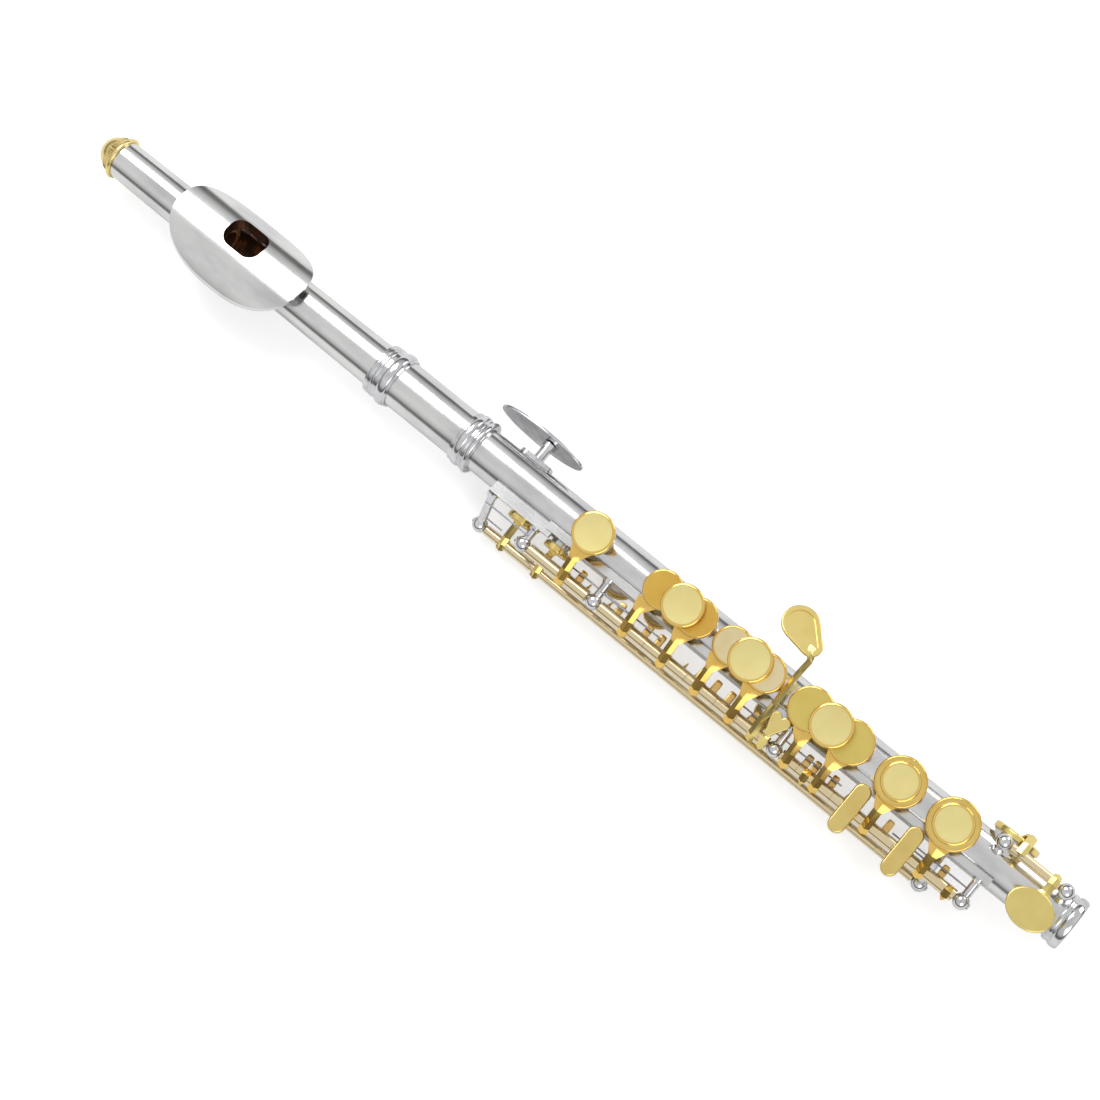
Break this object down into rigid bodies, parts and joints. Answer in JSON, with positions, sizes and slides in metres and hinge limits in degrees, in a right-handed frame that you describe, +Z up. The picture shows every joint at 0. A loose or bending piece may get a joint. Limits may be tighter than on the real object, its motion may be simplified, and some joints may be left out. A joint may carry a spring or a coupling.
{
  "type": "piccolo",
  "caption": "Small transverse flute with a sliding head joint, lip plate, crown and stopper, and a keyed body whose keys turn on long rods between ball-topped posts.",
  "frame": {"origin": "centre of the bore at the open foot end", "axes": "+X along the bore from the crown towards the foot, +Z up through the finger discs, -Y towards the long key rods"},
  "size_m": [0.3142, 0.0385, 0.0238],
  "materials": {
    "silver_plate": "polished silver plating",
    "gold_plate": "polished gold-tone plating",
    "gold_satin": "satin gold-tone plating",
    "steel": "ground rod",
    "spring_steel": "drawn wire",
    "cork": "natural cork",
    "pad_skin": "bladder skin over felt"
  },
  "bodies": {
    "body": {"body_tube": "silver_plate", "barrel": "silver_plate", "upper_ring": "silver_plate", "lower_ring": "silver_plate", "foot_ring": "silver_plate", "main_rib": "silver_plate", "main_posts": "silver_plate", "trill_posts": "silver_plate", "foot_posts": "silver_plate", "thumb_posts": "silver_plate", "main_rod": "steel", "foot_rod": "steel", "thumb_rod": "steel", "finger_rest": "silver_plate", "needle_springs": "spring_steel"},
    "head": {"head_tube": "silver_plate", "lip_plate": "silver_plate", "embouchure_riser": "silver_plate", "crown_screw": "steel", "stopper_cork": "cork", "stopper_plate": "silver_plate", "stopper_nut": "gold_plate"},
    "crown": {"crown": "gold_plate"},
    "c_key": {"c_key": "gold_plate", "c_disc": "gold_satin", "c_pads": "pad_skin"},
    "a_keys": {"a_key_upper": "gold_plate", "a_key_lower": "gold_plate", "a_disc": "gold_satin", "a_pads": "pad_skin"},
    "g_keys": {"g_key_upper": "gold_plate", "g_key_lower": "gold_plate", "g_disc": "gold_satin", "g_pads": "pad_skin"},
    "f_keys": {"f_key_upper": "gold_plate", "f_key_lower": "gold_plate", "f_disc": "gold_satin", "f_pads": "pad_skin"},
    "e_key": {"e_key": "gold_plate", "e_disc": "gold_satin", "e_pads": "pad_skin"},
    "d_key": {"d_key": "gold_plate", "d_disc": "gold_satin", "d_pads": "pad_skin"},
    "gsharp_key": {"gsharp_key": "gold_plate", "gsharp_pad": "pad_skin"},
    "side_lever": {"side_bflat_lever": "gold_plate"},
    "trill_one": {"trill_rod": "steel", "trill_one_upper": "gold_plate", "trill_one_lower": "gold_plate", "trill_one_pad": "pad_skin"},
    "trill_two": {"trill_two": "gold_plate", "trill_two_pad": "pad_skin"},
    "dsharp_key": {"dsharp_key": "gold_plate", "dsharp_pad": "pad_skin"},
    "thumb_b": {"thumb_b_key": "gold_plate", "thumb_b_pad": "pad_skin"},
    "thumb_bflat": {"thumb_bflat_key": "gold_plate", "thumb_bflat_pad": "pad_skin"}
  },
  "joints": [
    {"name": "head_slide", "type": "slide", "parent": "body", "child": "head", "axis": [-1, 0, 0], "range_m": [0, 0.008]},
    {"name": "crown_turn", "type": "hinge", "parent": "head", "child": "crown", "pos_m": [-0.3075, 0, 0], "axis": [-1, 0, 0], "range_deg": [-360, 360]},
    {"name": "c_key_hinge", "type": "hinge", "parent": "body", "child": "c_key", "pos_m": [0, -0.0125, 0.003], "axis": [-1, 0, 0], "range_deg": [0, 7.5], "stiffness_Nm_per_rad": 0.012, "springref_deg": -11.46},
    {"name": "a_keys_hinge", "type": "hinge", "parent": "body", "child": "a_keys", "pos_m": [0, -0.0125, 0.003], "axis": [-1, 0, 0], "range_deg": [0, 7.5], "stiffness_Nm_per_rad": 0.012, "springref_deg": -11.46},
    {"name": "g_keys_hinge", "type": "hinge", "parent": "body", "child": "g_keys", "pos_m": [0, -0.0125, 0.003], "axis": [-1, 0, 0], "range_deg": [0, 7.5], "stiffness_Nm_per_rad": 0.012, "springref_deg": -11.46},
    {"name": "f_keys_hinge", "type": "hinge", "parent": "body", "child": "f_keys", "pos_m": [0, -0.0125, 0.003], "axis": [-1, 0, 0], "range_deg": [0, 7.5], "stiffness_Nm_per_rad": 0.012, "springref_deg": -11.46},
    {"name": "e_key_hinge", "type": "hinge", "parent": "body", "child": "e_key", "pos_m": [0, -0.0125, 0.003], "axis": [-1, 0, 0], "range_deg": [0, 7.5], "stiffness_Nm_per_rad": 0.012, "springref_deg": -11.46},
    {"name": "d_key_hinge", "type": "hinge", "parent": "body", "child": "d_key", "pos_m": [0, -0.0125, 0.003], "axis": [-1, 0, 0], "range_deg": [0, 7.5], "stiffness_Nm_per_rad": 0.012, "springref_deg": -11.46},
    {"name": "gsharp_hinge", "type": "hinge", "parent": "body", "child": "gsharp_key", "pos_m": [0, -0.0125, 0.003], "axis": [-1, 0, 0], "range_deg": [0, 7], "stiffness_Nm_per_rad": 0.012, "springref_deg": -11.46},
    {"name": "side_lever_hinge", "type": "hinge", "parent": "body", "child": "side_lever", "pos_m": [0, -0.0125, 0.003], "axis": [-1, 0, 0], "range_deg": [0, 6], "stiffness_Nm_per_rad": 0.012, "springref_deg": -11.46},
    {"name": "trill_one_hinge", "type": "hinge", "parent": "body", "child": "trill_one", "pos_m": [0, -0.0142, -0.0065], "axis": [1, 0, 0], "range_deg": [0, 10], "stiffness_Nm_per_rad": 0.012, "springref_deg": -11.46},
    {"name": "trill_two_hinge", "type": "hinge", "parent": "body", "child": "trill_two", "pos_m": [0, -0.0142, -0.0065], "axis": [1, 0, 0], "range_deg": [0, 10], "stiffness_Nm_per_rad": 0.012, "springref_deg": -11.46},
    {"name": "dsharp_hinge", "type": "hinge", "parent": "body", "child": "dsharp_key", "pos_m": [0, 0.0041, 0.0085], "axis": [1, 0, 0], "range_deg": [0, 12], "stiffness_Nm_per_rad": 0.012, "springref_deg": -11.46},
    {"name": "thumb_b_hinge", "type": "hinge", "parent": "body", "child": "thumb_b", "pos_m": [0, 0.0052, -0.0079], "axis": [-1, 0, 0], "range_deg": [0, 4.5], "stiffness_Nm_per_rad": 0.04, "springref_deg": -11.46},
    {"name": "thumb_bflat_hinge", "type": "hinge", "parent": "body", "child": "thumb_bflat", "pos_m": [0, 0.0052, -0.0079], "axis": [-1, 0, 0], "range_deg": [0, 4.5], "stiffness_Nm_per_rad": 0.04, "springref_deg": -11.46}
  ]
}
